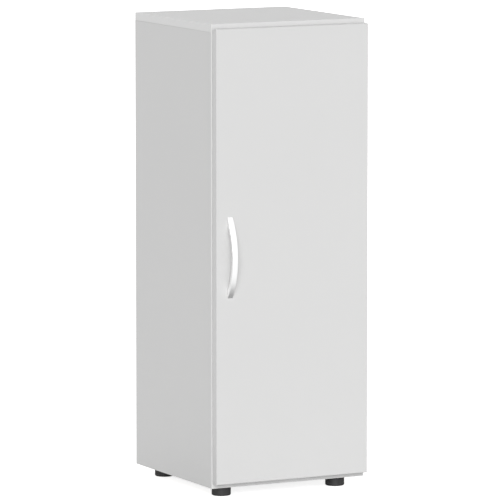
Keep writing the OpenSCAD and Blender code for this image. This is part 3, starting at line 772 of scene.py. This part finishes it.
# --------------------------------------------------------------------------------------------------
# Door. One faced board, as the carcass has, with strips of edge plastic glued to all four edges and their
# outer corners scraped round.
board("door_panel", "door_board", "door", "y")
# Painted shade: the door's strips are a darker grey than the carcass strips, standing in for the shade in
# the gap above the door and along its left edge
painted_shade_door_edge = clouded_finish("door_edge_plastic", (0.595, 0.595, 0.593), roughness=0.36, amount=0.02,
                           drift_scale=9.0, fleck_scale=1500.0, grain=0.15, grain_depth=0.00003)
band("door_bands", "door_band", "door", outline_edge, painted_shade_door_edge)

# --------------------------------------------------------------------------------------------------
# Hinge cups. Deep-drawn and plated, let into round pockets in the back of the door; a pin through two
# cheeks carries the arm, and two countersunk screws hold each flange.
plated("hinge_cups", "hinge_cup_set", "door", 0.0002)
plated("hinge_pins", "hinge_pin_set", "door", 0.0003)
screws("hinge_cup_screws", "hinge_cup_screw_set", "door", (0, 1, 0), head_radius=0.0032,
       head_height=0.0004, shank_radius=0.00175, seat=lambda low, high: high.y)

# --------------------------------------------------------------------------------------------------
# Strike plate and bumpers. A pressed steel plate that the magnet holds, and two soft clear discs at the
# left corners that keep the closed door off the side.
plated("strike_plate", "strike_plate_pressed", "door", 0.0003)
screws("strike_screws", "strike_screw_set", "door", (0, 1, 0), head_radius=0.0030,
       head_height=0.0002, shank_radius=0.00175, seat=lambda low, high: high.y)
clear_rubber = clouded_finish("bumper_clear_rubber", (0.72, 0.73, 0.74), roughness=0.22, amount=0.05,
                              drift_scale=200.0, fleck_scale=3000.0, grain=0.1, grain_depth=0.00001)
bumper_places = []
for low, high in solids("door_bumpers"):
    bumper_places.append(facing(((low.x + high.x) / 2, low.y, (low.z + high.z) / 2), (0, 1, 0)))
bumper_radius, bumper_height = (high.x - low.x) / 2, high.y - low.y
bumper = turned([(0, 0), (bumper_radius, 0)] +
                [(bumper_radius * cos(step * pi / 12), bumper_height * (0.25 + 0.75 * sin(step * pi / 12)))
                 for step in range(6)] + [(0, bumper_height)], steps=32)
bumpers = new_piece(copies(bumper, bumper_places), "door_bumper_set", "door",
                    (clear_rubber,))
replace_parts(bumpers, "door_bumpers")

# --------------------------------------------------------------------------------------------------
# Handle. A bow of satin silver metal between two arcs, brushed along its length, its long edges broken,
# held by two screws from inside the door.
low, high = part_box("handle_bow")
bow_half, bow_rise, bow_middle = (high.z - low.z) / 2, high.y - low.y, (low.z + high.z) / 2
bow_thick, bow_foot = 0.0075, 0.020
bow_steps, bow_edge_break = 64, 0.0010


def bow_strip(bm, half_chord, rise):
    """One face of the bow, spun as an arc of that chord and rise through the face of the door."""
    radius = (half_chord ** 2 + rise ** 2) / (2 * rise)
    centre = Vector((0, high.y + radius - rise, bow_middle))
    reach = 2 * asin(half_chord / radius)
    ends = [bm.verts.new((x, high.y, bow_middle - half_chord)) for x in (low.x, high.x)]
    line = bm.edges.new(ends)
    bmesh.ops.spin(bm, geom=ends + [line], cent=centre, axis=(1, 0, 0), angle=-reach, steps=bow_steps,
                   use_merge=False)


bow_bm = bmesh.new()
bow_strip(bow_bm, bow_half, bow_rise)
bow_strip(bow_bm, bow_half - bow_foot, bow_rise - bow_thick)
bmesh.ops.bridge_loops(bow_bm, edges=[edge for edge in bow_bm.edges if edge.is_boundary])
bmesh.ops.recalc_face_normals(bow_bm, faces=bow_bm.faces)
long_edges = [edge for edge in bow_bm.edges if edge.calc_face_angle() > radians(60)
              and abs(edge.verts[0].co.x - edge.verts[1].co.x) < 0.0001]
bmesh.ops.bevel(bow_bm, geom=long_edges, offset=bow_edge_break, offset_type="OFFSET", affect="EDGES",
                segments=3, profile=0.5, material=-1, clamp_overlap=True)

satin, satin_tree, satin_shader, satin_where = finish("handle_satin_silver", metallic=1.0)
brushing = noise_in(satin_tree, satin_where, 60.0, detail=3.0, stretch=(60, 3, 1))
satin_clouds = use_group(satin_tree, clouding, satin_where, Colour=(0.93, 0.93, 0.93, 1), Drift_scale=25.0,
                         Fleck_scale=2000.0, Amount=0.03, Roughness=0.30, Roughness_spread=0.10)
satin_tree.links.new(satin_clouds.outputs["Colour"], satin_shader.inputs["Base Color"])
brushed_gloss = maths(satin_tree, "MULTIPLY", maths(satin_tree, "SUBTRACT", brushing, 0.5), 0.15)
satin_tree.links.new(maths(satin_tree, "ADD", satin_clouds.outputs["Roughness"], brushed_gloss),
                     satin_shader.inputs["Roughness"])
bumped(satin_tree, satin_shader, brushing, 0.12, 0.00002)
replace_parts(new_piece(bow_bm, "handle_bow_satin", "door", (satin,)), "handle_bow")
door_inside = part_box("door_panel")[1].y
screws("handle_screws", "handle_screw_set", "door", (0, 1, 0), head_radius=0.004,
       head_height=0.0025, shank_radius=0.002, seat=lambda low, high: door_inside)
